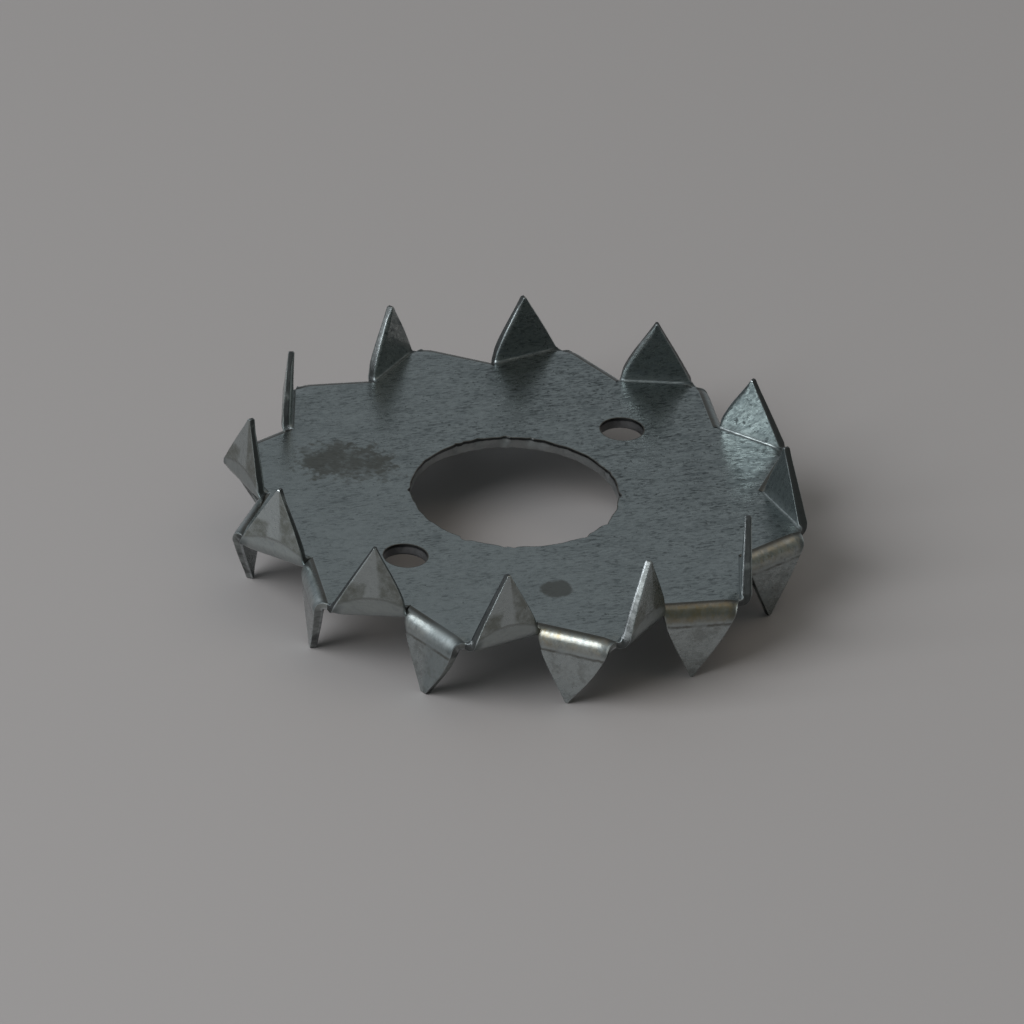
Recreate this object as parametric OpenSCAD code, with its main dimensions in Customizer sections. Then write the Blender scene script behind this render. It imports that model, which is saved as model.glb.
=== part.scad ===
// Double-sided toothed-plate timber connector, folded from one round blank of galvanised sheet.
// Units are millimetres. The origin is the bore centre at mid-thickness of the flat plate, +Z is up,
// and the two nail holes lie on the X axis. The part rests on the tips of its downward teeth.

/* [Sheet] */
// Thickness of the galvanised sheet
sheet_thickness = 1.0; // [0.8:0.05:1.2]
// Outside radius of the fold at the root of every tooth
outer_bend_radius = 1.3; // [1.2:0.05:1.5]
// Radius of the sharp crease on the inside of every fold
crease_radius = 0.25; // [0.1:0.05:0.3]

/* [Plate] */
// Diameter across the outer corners of the star of fold lines
fold_corner_diameter = 47.0; // [46:0.2:50]
// Diameter across the slit roots, the inner corners of the star of fold lines
slit_root_diameter = 39.8; // [38:0.2:42]
// Length of flat sheet left standing beyond each outer corner, between two teeth
corner_nose = 0.3; // [0.1:0.05:0.5]

/* [Teeth] */
// Number of teeth on each face
teeth_per_face = 12; // [10:1:14]
// Height over the tips of the upper and lower teeth
overall_height = 12.2; // [10:0.2:14]
// Thickness of each tooth at its root, where the fold has drawn the sheet thinner
tooth_thickness = 0.8; // [0.65:0.05:0.9]
// Width of the blunt end of each tooth
tip_width = 0.25; // [0.1:0.05:0.5]
// Angle by which the inner face of each tooth leans in towards the bolt
tooth_lean = 1; // [0:0.25:1.5]
// Angle between the inner and outer faces, which thins each tooth towards its tip
tooth_taper = 3; // [0:0.5:4]
// Width of the sheared slit between an upward and a downward tooth
slit_width = 0.1; // [0.05:0.05:0.3]

/* [Holes] */
// Diameter of the central bolt hole
bore_diameter = 17; // [12:0.5:20]
// Diameter of each nail hole
nail_hole_diameter = 3.6; // [2:0.2:5]
// Distance between the centres of the two nail holes
nail_hole_spacing = 27.6; // [27:0.2:32]
// Radius drawn into the upper rim of every hole by the punch
rim_radius = 0.2; // [0.05:0.05:0.3]

/* [Hidden] */
$fn = 96;
overlap = 0.5;          // how far joined bodies run into each other, and cutters past a face

corner_r = fold_corner_diameter / 2;
slit_r = slit_root_diameter / 2;
pitch = 360 / teeth_per_face;      // from one slit to the next
half_pitch = pitch / 2;            // from a slit to the outer corner beside it

// A tooth is drawn with its slit root at the origin, +X along the fold line to the outer corner,
// +Y outwards and +Z towards its tip.
fold_run = [corner_r * cos(half_pitch) - slit_r, corner_r * sin(half_pitch)];
fold_length = norm(fold_run);
slit_angle = atan2(fold_run.y, fold_run.x);        // between the slit and the fold line

mid_to_face = sheet_thickness / 2;
outer_bend_axis = [0, outer_bend_radius - mid_to_face];
crease_axis = [outer_bend_radius - tooth_thickness - crease_radius, mid_to_face + crease_radius];
shoulder_height = sheet_thickness + crease_radius / 2;     // where the flanks start, from the far face
tip_height = overall_height / 2;
tooth_length = tip_height + mid_to_face;           // from the far face of the plate to the tip
tip_centre = tooth_length / tan(slit_angle);       // along the fold line, in line with the slit

// Nose of the sheet at the outer corner, in the same tooth coordinates
corner_angle = slit_angle - half_pitch;            // between the fold line and the corner's radius
nose = [fold_length + corner_nose * cos(corner_angle), corner_nose * sin(corner_angle)];
tip_x = [tip_centre - tip_width / 2, tip_centre + tip_width / 2];
slit_flank_run = tip_x[0] / tooth_length;          // run along the fold for each unit of height
corner_flank_run = (nose.x - tip_x[1]) / (tooth_length - nose.y);
corner_flank_foot = nose.x + nose.y * corner_flank_run;     // where that flank meets the far face

// Outline of one tooth laid flat: the slit flank, the blunt tip and the flank to the outer corner.
module flat_outline() {
    polygon([
        [0, 0],
        [tip_x[0], tooth_length],
        [tip_x[1], tooth_length],
        [corner_flank_foot, 0],
        [corner_flank_foot, -2 * overlap],
        [-overlap, -2 * overlap]
    ]);
}

// The same outline standing on the far face, left at full width below the shoulders of the tooth.
module standing_outline() {
    polygon([
        [-overlap, -overlap],
        [-overlap, shoulder_height],
        [shoulder_height * slit_flank_run, shoulder_height],
        [tip_x[0], tooth_length],
        [tip_x[1], tooth_length],
        [corner_flank_foot - shoulder_height * corner_flank_run, shoulder_height],
        [corner_flank_foot + overlap, shoulder_height],
        [corner_flank_foot + overlap, -overlap]
    ]);
}

// Everything on the inner side of one face of the fold: below the sheet's face, round its bend
// and up its leaning side.
module inside_face(radius, axis, lean) {
    top = tip_height + overlap;
    foot = axis + radius * [cos(lean), sin(lean)];
    translate(axis) circle(radius);
    polygon([
        [-overlap, axis.y - radius],
        [axis.x, axis.y - radius],
        foot,
        [foot.x - (top - foot.y) * tan(lean), top],
        [-overlap, top]
    ]);
}

// Section across a fold: the edge of the plate, the quarter bend and the tapering tooth.
module fold_section() {
    translate([-overlap, -mid_to_face]) square([overlap, sheet_thickness]);
    difference() {
        intersection() {
            inside_face(outer_bend_radius, outer_bend_axis, tooth_lean + tooth_taper);
            translate([0, -mid_to_face]) square([outer_bend_radius, tooth_length + overlap]);
        }
        inside_face(crease_radius, crease_axis, tooth_lean);
    }
}

// Moves a tooth from its own coordinates to its place beside the slit on the X axis.
module at_slit() {
    translate([slit_r, 0]) rotate(-slit_angle) children();
}

// One tooth folded upwards, trimmed to its outline both where it stands and where it lies flat,
// and kept between its slit and just past the radius through its outer corner.
module tooth() {
    reach = corner_r + tooth_length;
    margin = slit_width / 2;
    intersection() {
        at_slit() translate([-overlap, 0, 0])
            rotate([90, 0, 90]) linear_extrude(corner_flank_foot + 2 * overlap) fold_section();
        at_slit() translate([0, tooth_length, -mid_to_face])
            rotate([90, 0, 0]) linear_extrude(2 * tooth_length) standing_outline();
        translate([0, 0, -tooth_length]) linear_extrude(2 * tooth_length) intersection() {
            at_slit() flat_outline();
            polygon([
                [0, -margin],
                [reach, -margin],
                [reach, -reach * tan(half_pitch) - margin],
                [0, -2 * margin]
            ]);
        }
    }
}

// Flat plate inside the fold lines: a star with an outer corner between every two slit roots.
module flat_plate() {
    translate([0, 0, -mid_to_face]) linear_extrude(sheet_thickness) polygon([
        for (i = [0 : 2 * teeth_per_face - 1])
            (i % 2 == 0 ? corner_r : slit_r) * [cos(i * half_pitch), sin(i * half_pitch)]
    ]);
}

// A punched hole on the Z axis, with its upper rim rounded over.
module punched_hole(diameter) {
    cylinder(h = 2 * sheet_thickness, d = diameter, center = true);
    translate([0, 0, mid_to_face - rim_radius]) rotate_extrude() difference() {
        translate([diameter / 2 - overlap, 0]) square([overlap + rim_radius, rim_radius + overlap]);
        translate([diameter / 2 + rim_radius, 0]) circle(rim_radius);
    }
}

module toothed_plate() color([0.62, 0.65, 0.67]) {
    difference() {
        union() {
            flat_plate();
            for (i = [0 : teeth_per_face - 1]) rotate([0, 0, half_pitch + i * pitch]) {
                tooth();
                rotate([180, 0, 0]) tooth();
            }
        }
        punched_hole(bore_diameter);
        for (side = [-1, 1])
            translate([side * nail_hole_spacing / 2, 0, 0]) punched_hole(nail_hole_diameter);
    }
}

toothed_plate();
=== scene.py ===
import math

import bmesh
import bpy
import numpy as np
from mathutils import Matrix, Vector
from mathutils.geometry import delaunay_2d_cdt


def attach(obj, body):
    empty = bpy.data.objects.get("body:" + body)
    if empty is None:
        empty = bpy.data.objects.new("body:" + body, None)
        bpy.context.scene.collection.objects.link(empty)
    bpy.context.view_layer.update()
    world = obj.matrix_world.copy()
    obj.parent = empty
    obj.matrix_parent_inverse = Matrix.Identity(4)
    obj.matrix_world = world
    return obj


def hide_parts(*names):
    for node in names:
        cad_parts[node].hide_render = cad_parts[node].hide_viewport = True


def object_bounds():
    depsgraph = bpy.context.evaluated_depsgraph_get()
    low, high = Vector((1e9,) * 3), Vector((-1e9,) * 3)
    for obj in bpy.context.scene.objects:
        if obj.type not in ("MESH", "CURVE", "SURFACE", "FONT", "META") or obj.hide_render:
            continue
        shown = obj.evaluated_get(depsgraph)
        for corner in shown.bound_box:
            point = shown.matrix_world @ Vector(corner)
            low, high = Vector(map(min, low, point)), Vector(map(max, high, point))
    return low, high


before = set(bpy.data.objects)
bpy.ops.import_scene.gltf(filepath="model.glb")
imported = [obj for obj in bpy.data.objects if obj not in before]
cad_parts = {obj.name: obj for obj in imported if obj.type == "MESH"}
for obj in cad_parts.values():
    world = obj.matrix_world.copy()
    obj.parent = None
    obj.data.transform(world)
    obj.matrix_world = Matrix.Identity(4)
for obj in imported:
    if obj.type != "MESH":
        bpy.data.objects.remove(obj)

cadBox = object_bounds()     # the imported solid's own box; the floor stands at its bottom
scene = bpy.context.scene
mm = 0.001

# The folded sheet, in millimetres. The bolt axis is Z and the nail holes lie on X.
sheetValues = {
    "thickness": 1.0,
    "teethPerFace": 12,
    "cornerRadius": 23.42,         # outer corners of the star of fold lines
    "slitRadius": 19.9,            # slit roots, its inner corners
    "cornerNose": 0.12,            # flat sheet left beyond each outer corner
    "noseThin": (0.20, 1.3),       # how much thinner each face is at a corner, and how far that reaches
    "tipHeight": 6.06,
    "bendRadius": 0.68,            # to the middle of the sheet
    "bendFade": 0.42,              # how far from an outer corner the fold takes to open up
    "thinnedBy": (0.4, 1.3),       # where a bend starts and stops growing thinner, in bend lengths
    "rootThickness": 0.84,
    "tipThickness": {"up": 0.52, "down": 0.60},
    "slitGap": (0.04, 0.3),        # how far a slit opens, and over what height
    "swellFrom": (0.5, 1.3),       # height where a slit flank starts to bulge, and over what height
    "slitRoll": (0.46, 0.25),      # width and depth of the rounded edge along a slit, on the inner face
    "cornerRoll": (0.14, 0.07),    # the same along the flank to an outer corner, on the outer face
    "noseRoll": (0.10, 0.05),      # the same on both faces at the nose between two teeth
    "rootRoll": (0.45, 0.17),      # the same where a bend ends at its slit, on the outer face
    "sharpRoll": (0.07, 0.035),    # the other side, where the burr stands
    "tipRoll": (0.16, 0.07),
    "rollNarrows": 1.3,            # width of tooth below which its rounded edges narrow
    "slitRollStarts": 0.8,         # height over which an edge grows round, at a slit root and at a corner
    "cornerRollStarts": 0.12,
    "noseRollReach": 0.8,
    "rootRollSpan": (0.9, 1.3, 2.4),     # height over which it grows, over which it fades, and its end
    "flankLean": (0.90, 0.86),     # nearness of a slit or corner flank, as a share of the way along the fold
    "leastHalf": 0.05,             # least thickness from mid sheet to a face
    "bendRows": 15,
    "shankRows": 22,
    "tipRows": (0.17, 0.09, 0.04, 0.0),  # from the tip down
    "shankEnds": 0.3,
    "columns": 18,
    "edgeColumns": (0.0, 0.02, 0.055, 0.11, 0.18, 0.27, 0.38),
    "columnsNarrow": 1.6,          # width of tooth below which the edge columns close up
    "wallSteps": 5,
    "wallRagged": 0.006,
    "faceLane": 5.0,               # flatPlace's Z on the sheet's upper side, and minus this on its underside
    "bow": 0.03,
    "weld": 0.0012,
    "sliver": 0.0005,
    "sharpAngle": 50,
    "seed": 7,
}

# How each tooth was left by the press: degrees leaned in, tip shift along the fold towards the slit,
# tip width, and how far its slit flank and its corner flank bulge. Teeth go round from the nail hole on +X.
toothSet = {
    "up": [(2.6, -0.23, 0.20, 0.30, 0.05), (0.2, -0.09, 0.24, 0.22, 0.06), (-0.9, -0.25, 0.22, 0.30, 0.14),
           (1.3, -0.10, 0.26, 0.16, 0.06), (1.9, -0.01, 0.30, 0.14, 0.08), (2.7, -0.26, 0.22, 0.18, 0.04),
           (1.4, -0.22, 0.22, 0.24, 0.02), (1.8, -0.40, 0.30, 0.16, 0.05), (2.7, 0.15, 0.24, 0.14, 0.10),
           (1.8, -0.09, 0.24, 0.16, 0.06), (0.6, -0.02, 0.22, 0.20, 0.06), (3.8, -0.40, 0.22, 0.34, 0.04)],
    "down": [(2.2, 0.05, 0.24, 0.12, 0.12), (2.9, -0.08, 0.26, 0.16, 0.16), (2.4, 0.06, 0.22, 0.12, 0.14),
             (2.0, -0.04, 0.24, 0.14, 0.10), (1.6, 0.07, 0.30, 0.10, 0.12), (3.4, -0.13, 0.40, 0.08, 0.10),
             (1.1, 0.02, 0.60, 0.16, 0.30), (2.4, -0.12, 0.24, 0.20, 0.30), (-1.6, 0.01, 0.20, 0.18, 0.26),
             (0.7, -0.30, 0.24, 0.12, 0.20), (2.5, -0.03, 0.24, 0.12, 0.10), (2.2, 0.04, 0.24, 0.14, 0.10)],
}


def smoothStep(x):
    x = np.clip(x, 0.0, 1.0)
    return x * x * (3 - 2 * x)


def roll(distance, width):
    # How far a rounded edge has dropped at this distance from it, from 1 at the edge to 0.
    x = np.clip(1 - distance / np.maximum(width, 1e-6), 0.0, 1.0)
    return 1 - np.sqrt(1 - x * x)


def noseTaper(distance, v):
    return v["noseThin"][0] * smoothStep(1 - distance / v["noseThin"][1])


class Patch:
    # Points with their place in the flat blank and their notes, gathered before the mesh is made.
    def __init__(self):
        self.points, self.flat, self.notes, self.faces, self.kinds = [], [], [], [], []

    def add(self, points, flat, notes):
        start = len(self.points)
        self.points += [tuple(p) for p in points]
        self.flat += [tuple(f) for f in flat]
        self.notes += [tuple(n) for n in notes]
        return start

    def face(self, corners, kind, flip):
        self.faces.append(corners[::-1] if flip else corners)
        self.kinds.append(kind)

    def grid(self, start, rows, columns, kind, flip=False):
        for r in range(rows - 1):
            for c in range(columns - 1):
                a = start + r * columns + c
                self.face((a, a + 1, a + columns + 1, a + columns), kind, flip)


class StarPlan:
    # The star of fold lines in plan. A fold line runs from its slit root, with the slit along X.
    def __init__(self, v):
        self.half = math.pi / v["teethPerFace"]
        self.toCorner = np.array([math.cos(self.half), -math.sin(self.half)])
        self.root = np.array([v["slitRadius"], 0.0])
        fold = v["cornerRadius"] * self.toCorner - self.root
        self.length = float(np.linalg.norm(fold))
        self.along = fold / self.length
        self.outward = np.array([-self.along[1], self.along[0]])

    def turnTo(self, i):
        # Turns rows of points from X to the slit with this number
        angle = 2 * self.half * i + self.half
        return np.array([[math.cos(angle), math.sin(angle)], [-math.sin(angle), math.cos(angle)]])

    def foldReach(self, points):
        # How far from the bolt axis the fold line lies, on the bearing of each point
        bearing = np.arctan2(points[:, 1], points[:, 0])
        fromCorner = np.abs((bearing + self.half) % (2 * self.half) - self.half)
        tilt = math.atan2(self.outward[1], self.outward[0])
        return self.root @ self.outward / np.cos(self.half - fromCorner + tilt)

    def noseDistance(self, points, v):
        # How far each point is from the nearest nose between two teeth
        bearing = np.round(np.arctan2(points[:, 1], points[:, 0]) / (2 * self.half)) * 2 * self.half
        noses = (v["cornerRadius"] + v["cornerNose"]) * np.stack([np.cos(bearing), np.sin(bearing)], axis=1)
        return np.hypot(*(points - noses).T)


def columnPlaces(v, width):
    # How far the columns are from the slit, close together at both edges.
    narrow = np.minimum(1.0, width / v["columnsNarrow"])
    near = np.array(v["edgeColumns"])[None, :] * narrow[:, None]
    inner = np.linspace(0, 1, v["columns"])[1:-1]
    middle = near[:, -1:] + inner[None, :] * (width - 2 * near[:, -1])[:, None]
    return np.concatenate([near, middle, width[:, None] - near[:, ::-1]], axis=1)


class Flap:
    # A tooth while it is still flat. Rows go up from its fold line and columns across from its slit.
    # A place is how far along the fold line it is from the slit root, and how far out.
    def __init__(self, v, plan, setting):
        lean, shift, tipWidth, slitBulge, cornerBulge = setting
        self.bend = v["bendRadius"] * math.pi / 2
        self.angle = math.radians(90 + lean)
        bendTop = self.bend * (1 - math.cos(self.angle)) / self.angle
        self.tip = self.bend + (v["tipHeight"] - bendTop) / math.sin(self.angle)
        tipAlong = plan.along[0] / plan.outward[0] * self.tip - shift
        noseStep = v["cornerNose"] * np.array([plan.toCorner @ plan.along, plan.toCorner @ plan.outward])
        self.nose = np.array([plan.length + noseStep[0], noseStep[1]])
        rows = np.unique(np.round(np.concatenate([
            np.linspace(0, self.bend, v["bendRows"]), self.nose[1:],
            np.linspace(self.bend, self.tip - v["shankEnds"], v["shankRows"])[1:],
            self.tip - np.array(v["tipRows"])]), 5))

        # Its slit flank and its corner flank
        share = np.clip(rows / self.tip, 0, 1)
        swell = np.sin(np.pi * share ** 0.8) ** 1.4 * smoothStep((rows - v["swellFrom"][0]) / v["swellFrom"][1])
        opening = v["slitGap"][0] * smoothStep(rows / v["slitGap"][1])
        slitSide = share * (tipAlong - tipWidth / 2) - slitBulge * swell + opening
        toTip = np.array([tipAlong + tipWidth / 2, self.tip]) - self.nose
        past = (rows - self.nose[1]) / toTip[1]
        flank = self.nose[0] + toTip[0] * past
        flank = flank + cornerBulge * np.abs(np.sin(np.pi * np.clip(past, 0, 1))) ** 1.5
        uncut = plan.length + rows * noseStep[0] / noseStep[1]
        cornerSide = np.where(rows <= self.nose[1] + 1e-4, uncut, flank)
        self.rows, self.width = rows, cornerSide - slitSide
        self.places = columnPlaces(v, self.width)
        self.across = slitSide[:, None] + self.places
        self.out = np.repeat(rows[:, None], self.across.shape[1], axis=1)

        # How far each point is from the sheared edges
        self.slitNear = self.places * v["flankLean"][0]
        fromNose = np.stack([self.across - self.nose[0], self.out - self.nose[1]], axis=-1)
        self.noseNear = np.hypot(fromNose[..., 0], fromNose[..., 1])
        fromFlank = np.maximum(cornerSide[:, None] - self.across, 0) * v["flankLean"][1]
        self.cornerNear = np.where(fromNose @ toTip < 0, self.noseNear, fromFlank)
        self.tipNear = (self.tip - rows)[:, None] + 0 * self.across
        self.slitOpen = smoothStep(rows / v["slitRollStarts"])[:, None]

    def folded(self, v, plan):
        # Mid sheet round the bend, as distance out and up, then the same for its normal. The fold opens
        # up towards the outer corner, where the sheet stays flat.
        fade = smoothStep((plan.length - self.across) / v["bendFade"])
        turn = np.maximum(self.angle * fade, 1e-4)
        curve = turn / self.bend
        bent, past = curve * np.minimum(self.out, self.bend), np.maximum(self.out - self.bend, 0)
        out = np.sin(bent) / curve + past * np.cos(turn)
        up = (1 - np.cos(bent)) / curve + past * np.sin(turn)
        return out, up, -np.sin(bent), np.cos(bent)

    def halves(self, v, plan, tipThickness):
        # Thickness from mid sheet to the inner and to the outer face. The sheet thins up the tooth, and
        # its sheared edges are rounded.
        thinning = [0, *(self.bend * t for t in v["thinnedBy"]), self.tip]
        thick = [v["thickness"], v["thickness"], v["rootThickness"], tipThickness]
        bare = np.interp(self.rows, thinning, thick)[:, None] / 2
        bare = bare - noseTaper(self.noseNear, v) - v["tipRoll"][1] * roll(self.tipNear, v["tipRoll"][0])
        squeeze = np.minimum(1.0, self.width / v["rollNarrows"])[:, None]
        cornerOpen = smoothStep(self.rows / v["cornerRollStarts"])[:, None]
        grows, fades, ends = v["rootRollSpan"]
        atRoot = (smoothStep(self.rows / grows) * smoothStep((ends - self.rows) / fades))[:, None]
        away = smoothStep((plan.length - self.across) / v["noseRollReach"])

        def drop(edge, near, opened):
            return edge[1] * squeeze * opened * roll(near, edge[0] * squeeze)

        def towardsNose(edge):
            return [away * e + (1 - away) * n for e, n in zip(edge, v["noseRoll"])]
        inner = (bare - drop(v["slitRoll"], self.slitNear, self.slitOpen)
                 - drop(towardsNose(v["sharpRoll"]), self.cornerNear, cornerOpen))
        outer = (bare - drop(v["sharpRoll"], self.slitNear, self.slitOpen)
                 - drop(v["rootRoll"], self.slitNear, atRoot)
                 - drop(towardsNose(v["cornerRoll"]), self.cornerNear, cornerOpen))
        return np.maximum(inner, v["leastHalf"]), np.maximum(outer, v["leastHalf"])

    def notes(self, side, number):
        # Height up the tooth, nearness to an edge, face of the sheet, tooth number and share across
        edge = np.minimum(np.minimum(self.slitNear + (1 - self.slitOpen) * 9, self.cornerNear), self.tipNear)
        same = 0 * self.out
        share = self.places / self.width[:, None]
        return np.stack([self.out, np.minimum(edge, 1.0), side + same, number + same, share], axis=-1)


def shearedWalls(patch, v, flap, sheets, number, down, rng):
    # Walls along the slit, over the tip and down to the nose
    rowCount, columnCount = flap.across.shape
    firstFree = int(np.searchsorted(flap.rows, flap.nose[1] - 1e-4))
    rim = ([(r, 0) for r in range(rowCount)] + [(rowCount - 1, c) for c in range(1, columnCount)]
           + [(r, columnCount - 1) for r in range(rowCount - 2, firstFree - 1, -1)])
    steps = v["wallSteps"]
    points, flat, notes = [], [], []
    for i, (r, c) in enumerate(rim):
        inner, outer = sheets[0][r, c], sheets[1][r, c]
        fixed = i == 0 or i == len(rim) - 1 or r > rowCount - 3
        ragged = v["wallRagged"] * min(1.0, flap.width[r])
        for k in range(steps):
            t = k / (steps - 1)
            p = inner + (outer - inner) * t
            if 0 < k < steps - 1 and not fixed:
                p = p + rng.normal(0, ragged, 3)
            points.append(p)
            flat.append((flap.rows[r] * 1.7, i * 0.11 + number * 3.1, t))
            notes.append((flap.out[r, c], 0.0, 1 - 2 * t, number, c / (columnCount - 1)))
    patch.grid(patch.add(points, flat, notes), len(rim), steps, 1, flip=down)


def foldedTooth(patch, v, plan, i, down, rng):
    way, flip = ("down", -1) if down else ("up", 1)
    number = i + v["teethPerFace"] * down
    flap = Flap(v, plan, toothSet[way][i])
    turn = plan.turnTo(i)

    def inPlan(along, out):
        place = plan.root + np.multiply.outer(along, plan.along) + np.multiply.outer(out, plan.outward)
        return place * [1, flip] @ turn
    out, up, normalOut, normalUp = flap.folded(v, plan)
    flatPlan, sheets = inPlan(flap.across, flap.out), []
    for side, half in zip((1, -1), flap.halves(v, plan, v["tipThickness"][way])):
        lift = (up + normalUp * half * side) * flip
        lane = np.full(lift.shape, v["faceLane"] * side * flip)
        points = np.concatenate([inPlan(flap.across, out + normalOut * half * side), lift[..., None]], axis=-1)
        flat = np.concatenate([flatPlan, lane[..., None]], axis=-1)
        start = patch.add(points.reshape(-1, 3), flat.reshape(-1, 3), flap.notes(side, number).reshape(-1, 5))
        patch.grid(start, *flap.across.shape, 0, flip=(side > 0) == down)
        sheets.append(points)
    shearedWalls(patch, v, flap, sheets, number, down, rng)
    return flap.across[0]


# The flat plate inside the fold lines, and its three holes
holeValues = {
    "boreRadius": 8.5,
    "nailRadius": 1.8,
    "nailAt": 13.8,
    "rimRoll": (0.04, 0.015),      # punched side, on top
    "burrRoll": (0.06, 0.03),
    "burr": 0.10,                  # how ragged the bore's rim is
    "burrLimits": (-2.0, 2.8),
    "burrReach": 0.62,
    "burrBelow": 0.6,              # share of it that the underside has
    "chips": 16,                   # flakes torn out of the rim
    "chipDepth": (1.2, 2.6),
    "chipShape": (0.5, 1.0, 0.3),
    "tornFrom": 0.4,               # share of the thickness, below the burnished band
    "tornDepth": 0.05,
    "boreSides": 220,
    "nailSides": 72,
    "wallSteps": 7,
    "wallLane": 40.0,              # flatPlace's Y on a hole's wall, before its radius is added
    "ringsAt": (0.025, 0.06, 0.11, 0.17, 0.25, 0.40, 0.65),     # from a hole's edge
    "rowsAt": (0.07, 0.22),        # from a slit root
    "gridStep": 0.62,
    "gridRow": 0.866,              # row spacing of even triangles, in steps
    "gridHalf": 25,
    "gridClear": (0.5, 0.95),      # kept clear of a fold line, and of a hole
}


def ringPoints(centre, radius, sides):
    a = np.linspace(0, 2 * math.pi, sides, endpoint=False)
    return centre + radius * np.stack([np.cos(a), np.sin(a)], axis=1)


def starOutline(v, plan, foldPlaces):
    outline = []
    for i in range(v["teethPerFace"]):
        for flip in (1, -1):
            line = (plan.root + np.multiply.outer(foldPlaces, plan.along)) * [1, flip] @ plan.turnTo(i)
            outline += list(line[::-1][:-1] if flip == 1 else line[:-1])
    return np.array(outline)


def tornRim(h, rng):
    # How far the bore's rim is out of round at each of its sides
    rim = rng.normal(0, 1, h["boreSides"])
    for _ in range(3):
        rim = (rim + np.roll(rim, 1) + np.roll(rim, -1)) / 3
    shape = np.array(h["chipShape"])
    for start in rng.integers(0, h["boreSides"] - 4, h["chips"]):
        rim[start:start + len(shape)] += rng.uniform(*h["chipDepth"]) * shape
    return rim


def plateTriangles(v, h, plan, outline, holes):
    # Rings round each hole, two copies of the outline, and a staggered grid kept off every edge
    step, clear = h["gridStep"], h["gridClear"]
    gx, gy = np.meshgrid(np.arange(-h["gridHalf"], h["gridHalf"], step),
                         np.arange(-h["gridHalf"], h["gridHalf"], step * h["gridRow"]))
    gx = gx + (np.arange(gx.shape[0]) % 2)[:, None] * step / 2
    grid = np.stack([gx.ravel(), gy.ravel()], axis=1)
    keep = np.hypot(*grid.T) < plan.foldReach(grid) - clear[0]
    for centre, radius, _ in holes:
        keep &= np.hypot(*(grid - centre).T) > radius + clear[1]
    loops = [outline] + [ringPoints(*hole) for hole in holes]
    rings = [ringPoints(centre, radius + d, sides) for centre, radius, sides in holes for d in h["ringsAt"]]
    rings += [outline * (1 - d / v["slitRadius"]) for d in h["rowsAt"]]
    points = np.concatenate(loops + rings + [grid[keep]])
    edges, at = [], 0
    for loop in loops:
        edges += [(at + i, at + (i + 1) % len(loop)) for i in range(len(loop))]
        at += len(loop)
    made, _, triangles, *_ = delaunay_2d_cdt([Vector(p) for p in points], edges, [], 0, 1e-5)
    made = np.array([(p.x, p.y) for p in made])

    # Only the triangles on the sheet itself
    middle = np.array([made[list(t)].mean(axis=0) for t in triangles])
    inside = np.hypot(*middle.T) < plan.foldReach(middle) + 1e-4
    for centre, radius, sides in holes:
        inside &= np.hypot(*(middle - centre).T) > radius * math.cos(math.pi / sides) + 0.002
    return made, [t for t, ok in zip(triangles, inside) if ok]


def plateSheets(v, h, plan, made, holes, rim):
    # The upper and the lower side, with rounded or burred rims and a ragged bore
    around = np.arctan2(made[:, 1], made[:, 0]) / (2 * math.pi) % 1 * h["boreSides"]
    ragged = np.interp(around, np.arange(h["boreSides"] + 1), np.append(rim, rim[0]))
    distance = np.hypot(*made.T)
    fade = smoothStep(1 - np.abs(distance - h["boreRadius"]) / h["burrReach"])
    pull = h["burr"] * np.clip(ragged, *h["burrLimits"]) * fade
    radialWay = made / np.maximum(distance, 1e-6)[:, None]
    near = np.full(len(made), 9.0)
    for centre, radius, _ in holes:
        near = np.minimum(near, np.abs(np.hypot(*(made - centre).T) - radius))
    half = v["thickness"] / 2 - noseTaper(plan.noseDistance(made, v), v)
    rimDrop, burrDrop = (edge[1] * roll(near, edge[0]) for edge in (h["rimRoll"], h["burrRoll"]))
    top = np.column_stack([made + radialWay * pull[:, None], half - rimDrop])
    low = np.column_stack([made - radialWay * pull[:, None] * h["burrBelow"], burrDrop - half])
    return top, low, near


def holeWalls(patch, h, made, top, low, holes):
    # A burnished band below the rim, then the torn part
    steps = h["wallSteps"]
    for centre, radius, sides in holes:
        index = [int(np.argmin(np.hypot(*(made - p).T))) for p in ringPoints(centre, radius, sides)]
        points, flat, notes = [], [], []
        for i in index + index[:1]:
            inward = (centre - made[i]) / radius
            depth = abs(math.sin(i * 12.9898) % 1.0 - 0.5) * h["tornDepth"]
            around = math.atan2(*(made[i] - centre)[::-1]) * radius
            for k in range(steps):
                t = k / (steps - 1)
                p = top[i] + (low[i] - top[i]) * t
                if h["tornFrom"] < t < 1:
                    p = p + np.array([*(inward * depth), 0])
                points.append(p)
                flat.append((around, h["wallLane"] + radius, t))
                notes.append((0.0, 0.0, 1 - 2 * t, -1, 0.5))
        patch.grid(patch.add(points, flat, notes), len(index) + 1, steps, 1)


def flatPlate(patch, v, h, plan, foldPlaces, rng):
    holes = [(np.zeros(2), h["boreRadius"], h["boreSides"])]
    holes += [(np.array([side * h["nailAt"], 0.0]), h["nailRadius"], h["nailSides"]) for side in (-1, 1)]
    made, triangles = plateTriangles(v, h, plan, starOutline(v, plan, foldPlaces), holes)
    top, low, near = plateSheets(v, h, plan, made, holes, tornRim(h, rng))
    same = 0 * near
    for side, sheet in ((1, top), (-1, low)):
        flat = np.column_stack([made, v["faceLane"] * side + same])
        notes = np.column_stack([same, np.minimum(near, 1.0), side + same, same - 1, same])
        start = patch.add(sheet, flat, notes)
        for t in triangles:
            patch.face(tuple(start + i for i in t), 0, side < 0)
    holeWalls(patch, h, made, top, low, holes)


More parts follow.
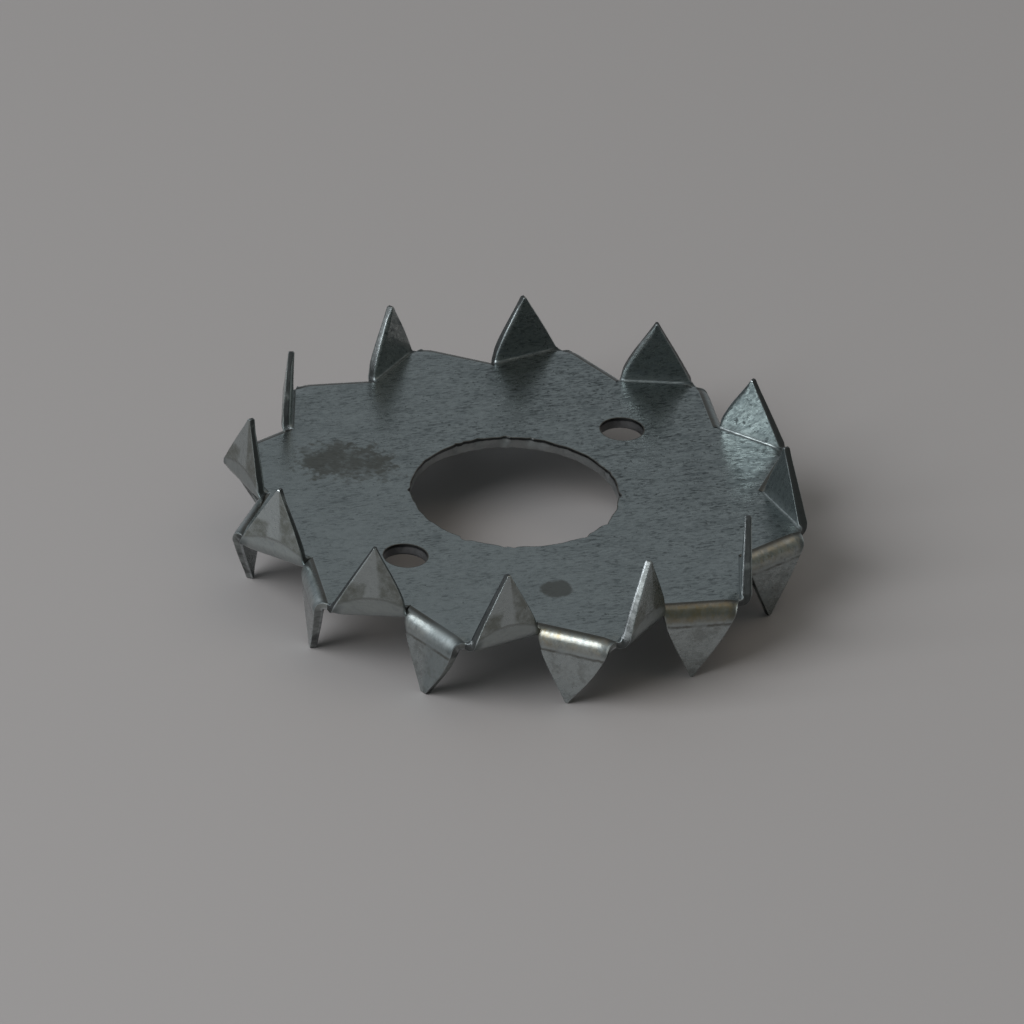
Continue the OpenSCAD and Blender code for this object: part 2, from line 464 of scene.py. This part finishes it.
def pressWaves(points, v):
    # Slight waves left in the sheet by the press, none of them at the tips
    bow = v["bow"] * np.sin(points[:, 0] * 0.31 + 0.6) * np.cos(points[:, 1] * 0.27 - 0.4)
    return bow * smoothStep((4.5 - np.abs(points[:, 2])) / 3)


def addPiece(name, data):
    piece = bpy.data.objects.new(name, data)
    scene.collection.objects.link(piece)
    return piece


def buildSheet(v, h):
    rng = np.random.default_rng(v["seed"])
    patch, plan = Patch(), StarPlan(v)
    for i in range(v["teethPerFace"]):
        foldPlaces = foldedTooth(patch, v, plan, i, False, rng)
        foldedTooth(patch, v, plan, i, True, rng)
    flatPlate(patch, v, h, plan, foldPlaces, rng)
    points = np.array(patch.points)
    points[:, 2] += pressWaves(points, v)
    mesh = bpy.data.meshes.new("toothedSheet")
    mesh.from_pydata([tuple(p) for p in points], [], patch.faces)
    mesh.polygons.foreach_set("material_index", patch.kinds)

    # Kept on face corners, so the weld can't mix them
    corners = np.concatenate([np.array(f) for f in patch.faces])
    flat = mesh.attributes.new("flatPlace", "FLOAT_VECTOR", "CORNER")
    flat.data.foreach_set("vector", np.array(patch.flat, np.float32)[corners].ravel())
    notes = np.array(patch.notes, np.float32)[corners]
    for k, name in enumerate(("upTooth", "edgeNear", "faceSide", "toothNumber", "acrossTooth")):
        layer = mesh.attributes.new(name, "FLOAT", "CORNER")
        layer.data.foreach_set("value", notes[:, k].copy())
    work = bmesh.new()
    work.from_mesh(mesh)
    bmesh.ops.remove_doubles(work, verts=work.verts, dist=v["weld"])
    bmesh.ops.dissolve_degenerate(work, edges=work.edges, dist=v["sliver"])
    bmesh.ops.recalc_face_normals(work, faces=work.faces)
    openEdges = sum(1 for e in work.edges if not e.is_manifold)
    print("toothed sheet:", len(work.faces), "faces,", openEdges, "open edges")
    bmesh.ops.scale(work, verts=work.verts, vec=(mm, mm, mm))
    work.to_mesh(mesh)
    work.free()
    mesh.shade_smooth()
    mesh.set_sharp_from_angle(angle=math.radians(v["sharpAngle"]))
    return addPiece("toothedSheet", mesh)


toothedSheet = buildSheet(sheetValues, holeValues)
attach(toothedSheet, "root")
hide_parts("toothed_plate")


# Node helpers
class Bench:
    # Adds nodes to one tree. A socket takes a link or a plain value.
    def __init__(self, tree):
        self.tree, self.count = tree, 0

    def add(self, kind, sockets=None, **settings):
        node = self.tree.nodes.new(kind)
        node.location = (self.count % 10 * 200, -(self.count // 10) * 330)
        self.count += 1
        for name, value in settings.items():
            setattr(node, name, value)
        for name, value in (sockets or {}).items():
            self.feed(node.inputs[name], value)
        return node

    def feed(self, socket, value):
        if isinstance(value, bpy.types.NodeSocket):
            self.tree.links.new(value, socket)
        elif socket.type == "RGBA" and len(value) == 3:
            socket.default_value = (*value, 1.0)
        else:
            socket.default_value = value

    def math(self, operation, *values, clamp=False):
        node = self.add("ShaderNodeMath", operation=operation, use_clamp=clamp)
        for socket, value in zip(node.inputs, values):
            self.feed(socket, value)
        return node.outputs[0]

    def vector(self, operation, *values, output="Vector"):
        node = self.add("ShaderNodeVectorMath", operation=operation)
        for socket, value in zip(node.inputs, values):
            self.feed(socket, value)
        return node.outputs[output]

    def turn(self, place, angle):
        node = self.add("ShaderNodeVectorRotate", {"Vector": place, "Angle": angle}, rotation_type="Z_AXIS")
        return node.outputs[0]

    def part(self, place, axis):
        return self.add("ShaderNodeSeparateXYZ", {"Vector": place}).outputs[axis]

    def product(self, *values):
        result = values[0]
        for value in values[1:]:
            result = self.math("MULTIPLY", result, value)
        return result

    def blend(self, factor, first, second):
        node = self.add("ShaderNodeMix", data_type="RGBA")
        for index, value in ((0, factor), (6, first), (7, second)):
            self.feed(node.inputs[index], value)
        return node.outputs[2]

    def tint(self, colour, paint, *masks):
        return self.blend(self.product(*masks), colour, paint)

    def between(self, value, low, high, start=0.0, end=1.0):
        node = self.add("ShaderNodeMapRange", {
            "Value": value, "From Min": low, "From Max": high, "To Min": start, "To Max": end},
            interpolation_type="SMOOTHSTEP")
        return node.outputs["Result"]

    def above(self, value, limit):
        return self.between(value, limit - 0.1, limit + 0.1)

    def below(self, value, limit):
        return self.between(value, limit + 0.1, limit - 0.1)

    def hump(self, value, heights):
        # Rises between the first two heights and falls between the last two
        low, rise, fall, high = heights
        return self.product(self.between(value, low, rise), self.between(value, high, fall))

    def isNumber(self, value, number):
        return self.math("COMPARE", value, float(number), 0.5)

    def noise(self, place, scale, detail=4.0, roughness=0.6, seed=0.0):
        node = self.add("ShaderNodeTexNoise", {
            "Vector": place, "W": seed, "Scale": scale, "Detail": detail, "Roughness": roughness},
            noise_dimensions="4D")
        return node.outputs[0]

    def bump(self, level, v):
        node = self.add("ShaderNodeBump", {"Height": level, "Strength": v["bump"], "Distance": v["bumpDepth"]})
        return node.outputs["Normal"]

    def read(self, name, vector=False):
        node = self.add("ShaderNodeAttribute", attribute_name=name)
        return node.outputs["Vector" if vector else "Fac"]

    def use(self, group, outputs, **sockets):
        node = self.add("ShaderNodeGroup", node_tree=group)
        for name, value in sockets.items():
            self.feed(node.inputs[name], value)
        found = [node.outputs[name] for name in outputs.split()]
        return found if len(found) > 1 else found[0]


def newMaterial(name):
    material = bpy.data.materials.new(name)
    material.use_nodes = True
    return material, Bench(material.node_tree), material.node_tree.nodes["Principled BSDF"]


def newGroup(name, inputs, outputs):
    tree = bpy.data.node_groups.new(name, "ShaderNodeTree")
    for socket, kind, value in inputs:
        made = tree.interface.new_socket(name=socket, in_out="INPUT", socket_type="NodeSocket" + kind)
        made.default_value = value
    for socket, kind in outputs:
        tree.interface.new_socket(name=socket, in_out="OUTPUT", socket_type="NodeSocket" + kind)
    bench = Bench(tree)
    given = bench.add("NodeGroupInput").outputs
    return tree, bench, given, bench.add("NodeGroupOutput").inputs


def makeRolledGrain():
    # Marks drawn out along one direction, as rolling leaves them
    tree, bench, given, result = newGroup("rolledGrain", [
        ("Place", "Vector", (0, 0, 0)), ("Turn", "Float", 0.0), ("Stretch", "Float", 5.0),
        ("Scale", "Float", 2.0), ("Seed", "Float", 0.0)], [("Streak", "Float"), ("Fine", "Float")])
    shorter = bench.math("DIVIDE", 1.0, given["Stretch"])
    shrink = bench.add("ShaderNodeCombineXYZ", {"X": shorter, "Y": 1.0, "Z": 1.0}).outputs[0]
    drawn = bench.vector("MULTIPLY", bench.turn(given["Place"], given["Turn"]), shrink)
    coarse = bench.noise(drawn, given["Scale"], 6.0, 0.68, given["Seed"])
    fine = bench.noise(drawn, bench.math("MULTIPLY", given["Scale"], 3.7), 3.0, 0.6, given["Seed"])
    bench.feed(result["Streak"], bench.between(coarse, 0.40, 0.68))
    bench.feed(result["Fine"], bench.between(fine, 0.34, 0.70))
    return tree


def makePittedSpecks():
    # Small dark pits, more of them where Amount is higher
    tree, bench, given, result = newGroup("pittedSpecks", [
        ("Place", "Vector", (0, 0, 0)), ("Size", "Float", 0.2), ("Amount", "Float", 0.1),
        ("Seed", "Float", 3.0)], [("Mask", "Float")])
    spots = bench.noise(given["Place"], bench.math("DIVIDE", 1.0, given["Size"]), 2.0, 0.5, given["Seed"])
    low = bench.math("SUBTRACT", 0.78, given["Amount"])
    bench.feed(result["Mask"], bench.between(spots, low, bench.math("ADD", low, 0.06)))
    return tree


def makeSoftStain():
    # A round or long mark with a ragged outline
    tree, bench, given, result = newGroup("softStain", [
        ("Place", "Vector", (0, 0, 0)), ("Centre", "Vector", (0, 0, 0)), ("Reach", "Vector", (1, 1, 5)),
        ("Turn", "Float", 0.0), ("Ragged", "Float", 0.2), ("Soft", "Float", 0.15)], [("Mask", "Float")])
    moved = bench.turn(bench.vector("SUBTRACT", given["Place"], given["Centre"]), given["Turn"])
    size = bench.vector("LENGTH", bench.vector("DIVIDE", moved, given["Reach"]), output="Value")
    wander = bench.math("SUBTRACT", bench.noise(given["Place"], 1.3, 4.0, 0.62, 5.0), 0.5)
    outline = bench.math("ADD", size, bench.product(wander, given["Ragged"], 3.0))
    bench.feed(result["Mask"], bench.between(outline, 1.0, bench.math("SUBTRACT", 1.0, given["Soft"])))
    return tree


def makeEdgeRub():
    # Where handling has rubbed the sheet close to a sheared edge
    tree, bench, given, result = newGroup("edgeRub", [
        ("Place", "Vector", (0, 0, 0)), ("Near", "Float", 1.0), ("Width", "Float", 0.1),
        ("Seed", "Float", 8.0)], [("Mask", "Float")])
    uneven = bench.between(bench.noise(given["Place"], 1.2, 2.0, 0.5, given["Seed"]), 0.3, 0.7, 0.25, 1.4)
    shareOfWidth = bench.math("DIVIDE", given["Near"], bench.product(given["Width"], uneven))
    bench.feed(result["Mask"], bench.between(shareOfWidth, 1.0, 0.2))
    return tree


rolledGrain, pittedSpecks, softStain = makeRolledGrain(), makePittedSpecks(), makeSoftStain()
edgeRub = makeEdgeRub()


onTop = sheetValues["faceLane"]
firstLower = sheetValues["teethPerFace"] - 0.5       # lower teeth have numbers above this, upper ones below


class OnSheet:
    # What the mesh stores at a shaded point, and the masks drawn from it. Inside is the inner face of a
    # tooth or the upper side of the plate. The plate and its holes have tooth number -1.
    def __init__(self, bench):
        self.place, self.up = bench.read("flatPlace", True), bench.read("upTooth")
        self.near, self.across = bench.read("edgeNear"), bench.read("acrossTooth")
        self.side, self.number = bench.read("faceSide"), bench.read("toothNumber")
        self.onTooth, self.onPlate = bench.above(self.number, -0.5), bench.isNumber(self.number, -1)
        self.inside, self.outside = bench.above(self.side, 0.5), bench.below(self.side, -0.5)
        self.lowerOutside = bench.product(self.outside, bench.above(self.number, firstLower))
        onUpper = bench.product(bench.below(self.number, firstLower), self.onTooth)
        self.upperOutside = bench.product(onUpper, self.outside)

        # A wander in millimetres that keeps the marks off ruled lines
        wander = bench.noise(self.place, 1.4, roughness=0.65, seed=12.0)
        self.ragged = bench.math("MULTIPLY_ADD", wander, 0.9, -0.45)
        self.raggedUp = bench.math("ADD", self.up, self.ragged)
        self.raggedAcross = bench.math("MULTIPLY_ADD", self.ragged, 0.22, self.across)


# Colours are linear. Heights are in millimetres up the tooth from its fold line, along the sheet.
zincValues = {
    "pale": (0.360, 0.394, 0.388),
    "dull": (0.165, 0.190, 0.196),
    # pits, and painted shade at the noses and in the bend creases
    "pitAndShade": (0.060, 0.070, 0.072),
    "stain": (0.165, 0.172, 0.162),
    "ovalStain": (0.108, 0.112, 0.104),
    "brownStain": (0.100, 0.101, 0.088),
    "flankBrown": (0.170, 0.181, 0.160),
    # gold and olive tints on the lower bends: painted reflection of a warm object
    "goldReflection": (0.330, 0.275, 0.165),
    "oliveReflection": (0.150, 0.134, 0.086),
    "grime": (0.085, 0.076, 0.062),
    # pale for rubbed sheared edges, and painted reflected light on the outer faces of the teeth
    "rubbedAndLit": (0.56, 0.61, 0.62),
    "grainTurn": 33.0,           # degrees
    "streaks": {"Stretch": 3.6, "Scale": 1.7, "Seed": 1.0},
    "hairlines": {"Stretch": 2.6, "Scale": 4.2, "Seed": 6.0},
    "heavyAlongX": 0.016,        # how much heavier the grain grows for each millimetre
    "speckSize": 0.26,
    "specks": (0.085, 0.08),     # how many where the grain is light, and how many more where it is heavy
    "oval": {"Centre": (-9.22, -11.97, onTop), "Reach": (1.55, 1.40, 9.0), "Ragged": 0.26, "Soft": 0.26},
    "blotch": {"Centre": (-6.16, 12.93, onTop), "Reach": (4.6, 3.5, 9.0), "Turn": math.radians(50.3),
               "Ragged": 0.75, "Soft": 0.35},
    "rimReach": (0.10, 0.05),    # from a hole's edge
    "foldHeights": (0.0, 0.06, 0.14, 0.42),
    "bandHeights": (0.05, 0.35, 0.70, 1.60),
    "bendHeights": (0.05, 0.4, 1.4, 2.0),
    "cornerHeights": (0.05, 0.20, 0.45, 0.95),
    "creaseHeight": 1.62,
    "archHeight": 1.95,          # in the middle of an upper tooth, and how much lower at its flanks
    "archDrop": 0.75,
    "goldTooth": 20,             # the most gold-tinted, and its neighbours less
    "goldSlitTooth": 19,
    # its outer face darker towards the corner end: painted shade dimming the highlight there
    "dullCornerTooth": 18,
    # less painted shade in its bend's crease
    "openCreaseTooth": 0,
    "edgeRubWidth": 0.12,
    "roughness": (0.23, 0.42),
    "bump": 0.22,
    "bumpDepth": 0.00003,        # metres
}


def rolledZinc(bench, v, at):
    # The bare sheet: grain that is heavier in drifting areas, with flecks and pits.
    drift = bench.noise(at.place, 0.16, detail=3.0, roughness=0.5, seed=2.0)
    sideways = bench.math("MULTIPLY_ADD", bench.part(at.place, "X"), v["heavyAlongX"], 0.5)
    heavy = bench.between(bench.math("ADD", drift, sideways), 0.70, 1.35)
    cloud = bench.between(bench.noise(at.place, 0.45, seed=9.0), 0.3, 0.7)
    turn = math.radians(v["grainTurn"])
    streak, fleck = bench.use(rolledGrain, "Streak Fine", Place=at.place, Turn=turn, **v["streaks"])
    thin, hair = bench.use(rolledGrain, "Streak Fine", Place=at.place, Turn=turn, **v["hairlines"])

    worn = bench.product(streak, bench.math("MULTIPLY_ADD", heavy, 0.42, 0.10))
    worn = bench.math("ADD", worn, bench.product(thin, bench.math("MULTIPLY_ADD", heavy, 0.40, 0.26)))
    worn = bench.math("ADD", worn, bench.product(cloud, 0.14), clamp=True)
    colour = bench.blend(worn, v["pale"], v["dull"])
    colour = bench.tint(colour, v["pitAndShade"], hair, 0.20)

    share = bench.math("MULTIPLY_ADD", cloud, 0.40, bench.math("MULTIPLY_ADD", heavy, 0.40, 0.10))
    fewerOnTeeth = bench.between(at.number, -0.6, -0.4, 1.0, 0.6)
    colour = bench.tint(colour, v["pitAndShade"], bench.between(fleck, 0.56, 0.84), share, fewerOnTeeth)
    amount = bench.math("MULTIPLY_ADD", heavy, v["specks"][1], v["specks"][0])
    specks = bench.use(pittedSpecks, "Mask", Place=at.place, Size=v["speckSize"], Amount=amount)
    return bench.tint(colour, v["pitAndShade"], specks, 0.75), worn, hair, specks


def plateMarks(bench, v, at, colour):
    # Two stains on the plate's upper side, and the dark rims of its holes.
    upperSide = bench.product(at.onPlate, at.inside)
    oval = bench.product(bench.use(softStain, "Mask", Place=at.place, **v["oval"]), upperSide)
    patchy = bench.between(bench.noise(at.place, 0.9, seed=4.0), 0.34, 0.54)
    blotch = bench.product(bench.use(softStain, "Mask", Place=at.place, **v["blotch"]),
                           bench.math("MULTIPLY_ADD", patchy, 0.60, 0.35), upperSide)
    rim = bench.product(bench.between(at.near, *v["rimReach"]), at.onPlate)
    for mask, paint in ((oval, "ovalStain"), (blotch, "brownStain"), (rim, "grime")):
        colour = bench.tint(colour, v[paint], mask, 0.85)
    return colour, bench.math("MAXIMUM", oval, blotch), rim


def lowerBends(bench, v, at, colour):
    # Outer faces of every tooth painted lighter, which is painted reflected light. On the lower teeth's bends:
    # a gold or olive painted reflection on a few teeth, grime along the fold, scuffs, painted shade at one
    # corner end, and a dark line where the bend runs out.
    # Outer faces of every tooth painted lighter: painted reflected light from the floor
    colour = bench.tint(colour, v["rubbedAndLit"], at.outside, at.onTooth, 0.34)
    height = bench.math("ADD", at.up, bench.product(at.ragged, 0.8))
    band = bench.hump(height, v["bandHeights"])
    bandOutside = bench.product(band, at.outside)

    fromGold = bench.math("ABSOLUTE", bench.math("SUBTRACT", at.number, float(v["goldTooth"])))
    gold = bench.math("MULTIPLY_ADD", fromGold, -0.42, 1.0, clamp=True)
    slitEnd = bench.between(at.raggedAcross, 0.42, 0.10)
    slitEnd = bench.product(slitEnd, bench.isNumber(at.number, v["goldSlitTooth"]))
    gold = bench.math("ADD", gold, slitEnd, clamp=True)
    patchy = bench.noise(at.place, 1.9, detail=5.0, roughness=0.7, seed=31.0)
    patchy = bench.between(patchy, 0.38, 0.62, 0.25, 0.9)
    # Gold and olive tints on the bends' outer band: painted reflection of a warm object
    colour = bench.tint(colour, v["goldReflection"], bandOutside, gold, patchy)
    colour = bench.tint(colour, v["oliveReflection"], bandOutside, bench.isNumber(at.number, v["goldTooth"]),
                        bench.math("MULTIPLY_ADD", at.ragged, 0.5, 0.62))
    colour = bench.tint(colour, v["grime"], bench.hump(at.up, v["foldHeights"]), at.lowerOutside, 0.88)

    scuffs = bench.between(bench.noise(at.place, 3.3, roughness=0.7, seed=61.0), 0.44, 0.66)
    colour = bench.tint(colour, v["dull"], scuffs, band, at.lowerOutside, 0.55)
    # Tooth 18's outer face darker towards its corner end: painted shade dimming its highlight
    cornerEnd = bench.product(bench.between(at.across, 0.30, 0.62), at.outside,
                              bench.isNumber(at.number, v["dullCornerTooth"]))
    colour = bench.tint(colour, v["dull"], cornerEnd, 0.55)

    creaseAt = bench.math("MULTIPLY_ADD", at.ragged, 0.36, v["creaseHeight"])
    fromCrease = bench.math("ABSOLUTE", bench.math("SUBTRACT", at.up, creaseAt))
    faint = bench.between(bench.noise(at.place, 0.8, detail=3.0, seed=27.0), 0.35, 0.6, 0.25, 0.75)
    colour = bench.tint(colour, v["grime"], bench.between(fromCrease, 0.22, 0.02), at.lowerOutside, faint)
    blotches = bench.between(bench.noise(at.place, 1.1, detail=5.0, roughness=0.7, seed=36.0), 0.46, 0.62)
    below = bench.between(at.raggedUp, 1.5, 1.9)
    colour = bench.tint(colour, v["stain"], below, at.lowerOutside, blotches, 0.45)
    return colour, cornerEnd


def upperFlanks(bench, v, at, colour):
    # Outside the upper teeth: browner flanks either side of a pale middle, above an arched line.
    fromMiddle = bench.math("ABSOLUTE", bench.math("MULTIPLY_ADD", at.across, 2.0, -1.0))
    archAt = bench.math("MULTIPLY_ADD", at.ragged, 0.25, v["archHeight"])
    archAt = bench.math("MULTIPLY_ADD", bench.math("POWER", fromMiddle, 2.0), -v["archDrop"], archAt)
    overArch = bench.math("SUBTRACT", at.up, archAt)
    slitFlank = bench.between(at.raggedAcross, 0.42, 0.30)
    cornerFlank = bench.between(at.raggedAcross, 0.60, 0.68)
    cornerFlank = bench.product(cornerFlank, bench.between(at.raggedUp, 3.5, 3.0))
    flanks = bench.math("MAXIMUM", slitFlank, cornerFlank)
    brown = bench.noise(at.place, 1.2, detail=5.0, roughness=0.7, seed=44.0)
    brown = bench.between(brown, 0.30, 0.62, 0.25, 0.85)
    over = bench.between(overArch, -0.02, 0.10)
    colour = bench.tint(colour, v["flankBrown"], flanks, over, at.upperOutside, brown)
    colour = bench.tint(colour, v["stain"], bench.between(overArch, 0.0, -0.12), at.upperOutside, 0.30)
    archLine = bench.between(bench.math("ABSOLUTE", overArch), 0.16, 0.02)
    return bench.tint(colour, v["stain"], archLine, at.upperOutside, 0.6)


def creasesAndEdges(bench, v, at, colour):
    # Painted shade at the nose between two teeth and in the crease inside each bend, and rubbed sheared edges.
    nose = bench.product(bench.between(at.across, 0.84, 0.96), bench.between(at.up, 1.5, 0.8), at.onTooth)
    colour = bench.tint(colour, v["pitAndShade"], nose, 0.55)
    corner = bench.product(bench.hump(at.up, v["cornerHeights"]), at.inside, at.onTooth)
    opened = bench.isNumber(at.number, v["openCreaseTooth"])
    colour = bench.tint(colour, v["pitAndShade"], corner, bench.math("MULTIPLY_ADD", opened, -0.3, 0.7))
    rub = bench.use(edgeRub, "Mask", Place=at.place, Near=at.near, Width=v["edgeRubWidth"])
    colour = bench.tint(colour, v["rubbedAndLit"], rub, at.onTooth, 0.30)
    return colour, nose, corner


def makeZinc(v):
    material, bench, shader = newMaterial("zincSheet")
    at = OnSheet(bench)
    colour, worn, hair, specks = rolledZinc(bench, v, at)
    colour, stained, rim = plateMarks(bench, v, at, colour)
    colour, cornerEnd = lowerBends(bench, v, at, colour)
    colour = upperFlanks(bench, v, at, colour)
    colour, nose, corner = creasesAndEdges(bench, v, at, colour)
    bench.feed(shader.inputs["Base Color"], colour)
    shader.inputs["Metallic"].default_value = 1.0

    bend = bench.hump(at.up, v["bendHeights"])
    dulled = bench.math("MAXIMUM", bench.math("MAXIMUM", rim, cornerEnd), bench.math("MAXIMUM", nose, corner))
    rough = bench.between(worn, 0.0, 1.0, *v["roughness"])
    for mask, more in ((stained, 0.22), (specks, 0.15), (dulled, 0.24), (bend, 0.09)):
        rough = bench.math("MULTIPLY_ADD", mask, more, rough, clamp=True)
    bench.feed(shader.inputs["Roughness"], rough)

    # Orange peel, grain and pits, all within a few hundredths of a millimetre
    peel = bench.noise(at.place, 2.3, detail=2.0, roughness=0.5, seed=14.0)
    pressed = bench.noise(at.place, 4.6, roughness=0.65, seed=19.0)
    level = bench.math("ADD", peel, bench.product(pressed, bend, 0.9))
    for mask, depth in ((worn, -0.35), (hair, -0.22), (specks, -0.5)):
        level = bench.math("MULTIPLY_ADD", mask, depth, level)
    bench.feed(shader.inputs["Normal"], bench.bump(level, v))
    return material


betweenLanes = holeValues["wallLane"] + (holeValues["boreRadius"] + holeValues["nailRadius"]) / 2
shearedValues = {
    "torn": (0.295, 0.315, 0.308),
    "burnished": (0.45, 0.48, 0.49),
    "dark": (0.035, 0.037, 0.038),
    "holeWall": (0.33, 0.345, 0.345),
    # painted shade: the nail holes' walls are darker than the bore's
    "nailWall": (0.200, 0.202, 0.205),
    "scores": {"Turn": math.radians(90), "Stretch": 0.2, "Scale": 0.9, "Seed": 21.0},
    "burnishedShare": 0.28,      # of the thickness, below the punched face
    "rimShare": (0.18, 0.05),    # where the bore's dark rim ends, and how much lower in a nail hole
    "lighterTipTooth": 8,             # brighter towards its tip
    "darkTipTooth": 7,             # darker towards its tip
    "roughness": (0.30, 0.52),
    "bump": 0.35,
    "bumpDepth": 0.00004,        # metres
}


def makeSheared(v):
    material, bench, shader = newMaterial("shearedEdge")
    place, side, number = bench.read("flatPlace", True), bench.read("faceSide"), bench.read("toothNumber")
    up = bench.read("upTooth")
    through = bench.math("MULTIPLY_ADD", side, -0.5, 0.5)        # 0 on one face of the sheet, 1 on the other
    inHole, onTooth = bench.below(number, -0.5), bench.above(number, -0.5)

    # Scores that run through the thickness, and the tear's own wandering line
    scores, hair = bench.use(rolledGrain, "Streak Fine", Place=place, **v["scores"])
    wander = bench.math("MULTIPLY_ADD", bench.noise(place, 0.9, roughness=0.65, seed=17.0), 0.36, -0.18)
    level = bench.math("ADD", through, wander)
    smooth = bench.between(level, v["burnishedShare"] + 0.04, v["burnishedShare"] - 0.04)
    nailWall = bench.below(bench.part(place, "Y"), betweenLanes)
    # Nail-hole walls darker than the bore's: painted shade inside the small holes
    colour = bench.blend(inHole, v["torn"], bench.blend(nailWall, v["holeWall"], v["nailWall"]))
    colour = bench.tint(colour, v["burnished"], smooth, bench.math("MULTIPLY_ADD", inHole, -0.6, 0.8))
    colour = bench.tint(colour, v["dark"], scores, 0.25)

    # Dark patches on the flanks, more on the upper teeth: partly grime, partly painted shade for flanks that
    # read black; one tooth darker and one lighter towards its tip
    patches = bench.noise(place, 0.24, detail=3.0, seed=50.0)
    grimeAndShade = bench.math("MULTIPLY_ADD", bench.below(number, firstLower), 0.16, patches)
    darkTip = bench.product(bench.isNumber(number, v["darkTipTooth"]), bench.between(up, 1.4, 3.0))
    grimeAndShade = bench.math("MAXIMUM", bench.between(grimeAndShade, 0.44, 0.60), darkTip)
    lighterTip = bench.product(bench.isNumber(number, v["lighterTipTooth"]), bench.between(up, 1.5, 5.5, 0.0, 0.5))
    grimeAndShade = bench.math("MULTIPLY", grimeAndShade, bench.math("SUBTRACT", onTooth, lighterTip), clamp=True)
    colour = bench.tint(colour, v["dark"], grimeAndShade, 0.8)

    # The rim's dark broken line round a hole
    rimEnd = bench.math("MULTIPLY_ADD", nailWall, v["rimShare"][1], v["rimShare"][0])
    broken = bench.math("MULTIPLY_ADD", wander, 1.1, through)
    rim = bench.between(broken, bench.math("ADD", rimEnd, 0.11), rimEnd)
    colour = bench.tint(colour, v["dark"], rim, inHole, 0.95)
    bench.feed(shader.inputs["Base Color"], colour)
    shader.inputs["Metallic"].default_value = 1.0
    rough = bench.between(bench.math("SUBTRACT", scores, smooth), -1.0, 1.0, *v["roughness"])
    bench.feed(shader.inputs["Roughness"], rough)
    level = bench.math("MULTIPLY_ADD", hair, -0.3, bench.product(scores, -0.7))
    bench.feed(shader.inputs["Normal"], bench.bump(level, v))
    return material


toothedSheet.data.materials.append(makeZinc(zincValues))
toothedSheet.data.materials.append(makeSheared(shearedValues))
print("materials set")

# Floor that the lower tips stand on
floorValues = {"size": 3.0, "colour": (0.352, 0.331, 0.324), "roughness": 0.65}


def buildFloor(v):
    mesh = bpy.data.meshes.new("floor")
    e, z = v["size"] / 2, cadBox[0].z
    mesh.from_pydata([(-e, -e, z), (e, -e, z), (e, e, z), (-e, e, z)], [], [(0, 1, 2, 3)])
    material, bench, shader = newMaterial("paleFloor")
    bench.feed(shader.inputs["Base Color"], v["colour"])
    bench.feed(shader.inputs["Roughness"], v["roughness"])
    mesh.materials.append(material)
    floor = addPiece("floor", mesh)


buildFloor(floorValues)

# Camera, in the sheet's own frame
cameraValues = {
    "place": (-0.69431, -0.54231, 0.53830),      # metres
    "turn": (58.4631, -2.8234, -50.2673),        # degrees
    "lens": 445.67,
    "sensor": 36,
    "clip": (0.01, 20),
}


def buildCamera(v):
    data = bpy.data.cameras.new("camera")
    data.lens, data.sensor_width = v["lens"], v["sensor"]
    data.clip_start, data.clip_end = v["clip"]
    camera = addPiece("camera", data)
    camera.location = v["place"]
    camera.rotation_euler = [math.radians(a) for a in v["turn"]]
    scene.camera = camera


buildCamera(cameraValues)

# Soft studio light. Azimuth 0 is to the camera's right and 90 is away from it.
lightValues = {
    "cameraTurn": 52.1,
    "window": {"azimuth": -148, "height": 40, "away": 0.8, "size": (0.62, 0.55),
               "power": 5.9, "colour": (0.94, 0.97, 1.0)},
    "fill": {"azimuth": 20, "height": 62, "away": 1.1, "size": (0.9, 0.9),
             "power": 1.1, "colour": (1.0, 0.82, 0.68)},
    "room": {"azimuth": 135, "upward": -0.4, "pale": (0.348, 0.374, 0.398), "dark": (0.165, 0.180, 0.172)},
}


def buildLight(name, v, turn):
    data = bpy.data.lights.new(name, "AREA")
    data.shape, data.size, data.size_y = "RECTANGLE", *v["size"]
    data.energy, data.color = v["power"], v["colour"]
    light = addPiece(name, data)
    a, e = math.radians(v["azimuth"] - turn), math.radians(v["height"])
    way = Vector((math.cos(a) * math.cos(e), math.sin(a) * math.cos(e), math.sin(e)))
    light.location = way * v["away"]
    light.rotation_mode = "QUATERNION"
    light.rotation_quaternion = way.to_track_quat("Z", "Y")


def buildRoom(v, turn):
    # The walls all round, paler on one side
    world = bpy.data.worlds.new("room")
    world.use_nodes = True
    scene.world = world
    bench = Bench(world.node_tree)
    a = math.radians(v["azimuth"] - turn)
    look = bench.add("ShaderNodeTexCoord").outputs["Generated"]
    facing = bench.vector("DOT_PRODUCT", look, (math.cos(a), math.sin(a), v["upward"]), output="Value")
    colour = bench.blend(bench.between(facing, -1.0, 1.0), v["dark"], v["pale"])
    bench.feed(world.node_tree.nodes["Background"].inputs["Color"], colour)


for name in ("window", "fill"):
    buildLight(name, lightValues[name], lightValues["cameraTurn"])
buildRoom(lightValues["room"], lightValues["cameraTurn"])
scene.view_settings.view_transform = "Standard"
print("floor, lights and camera set")
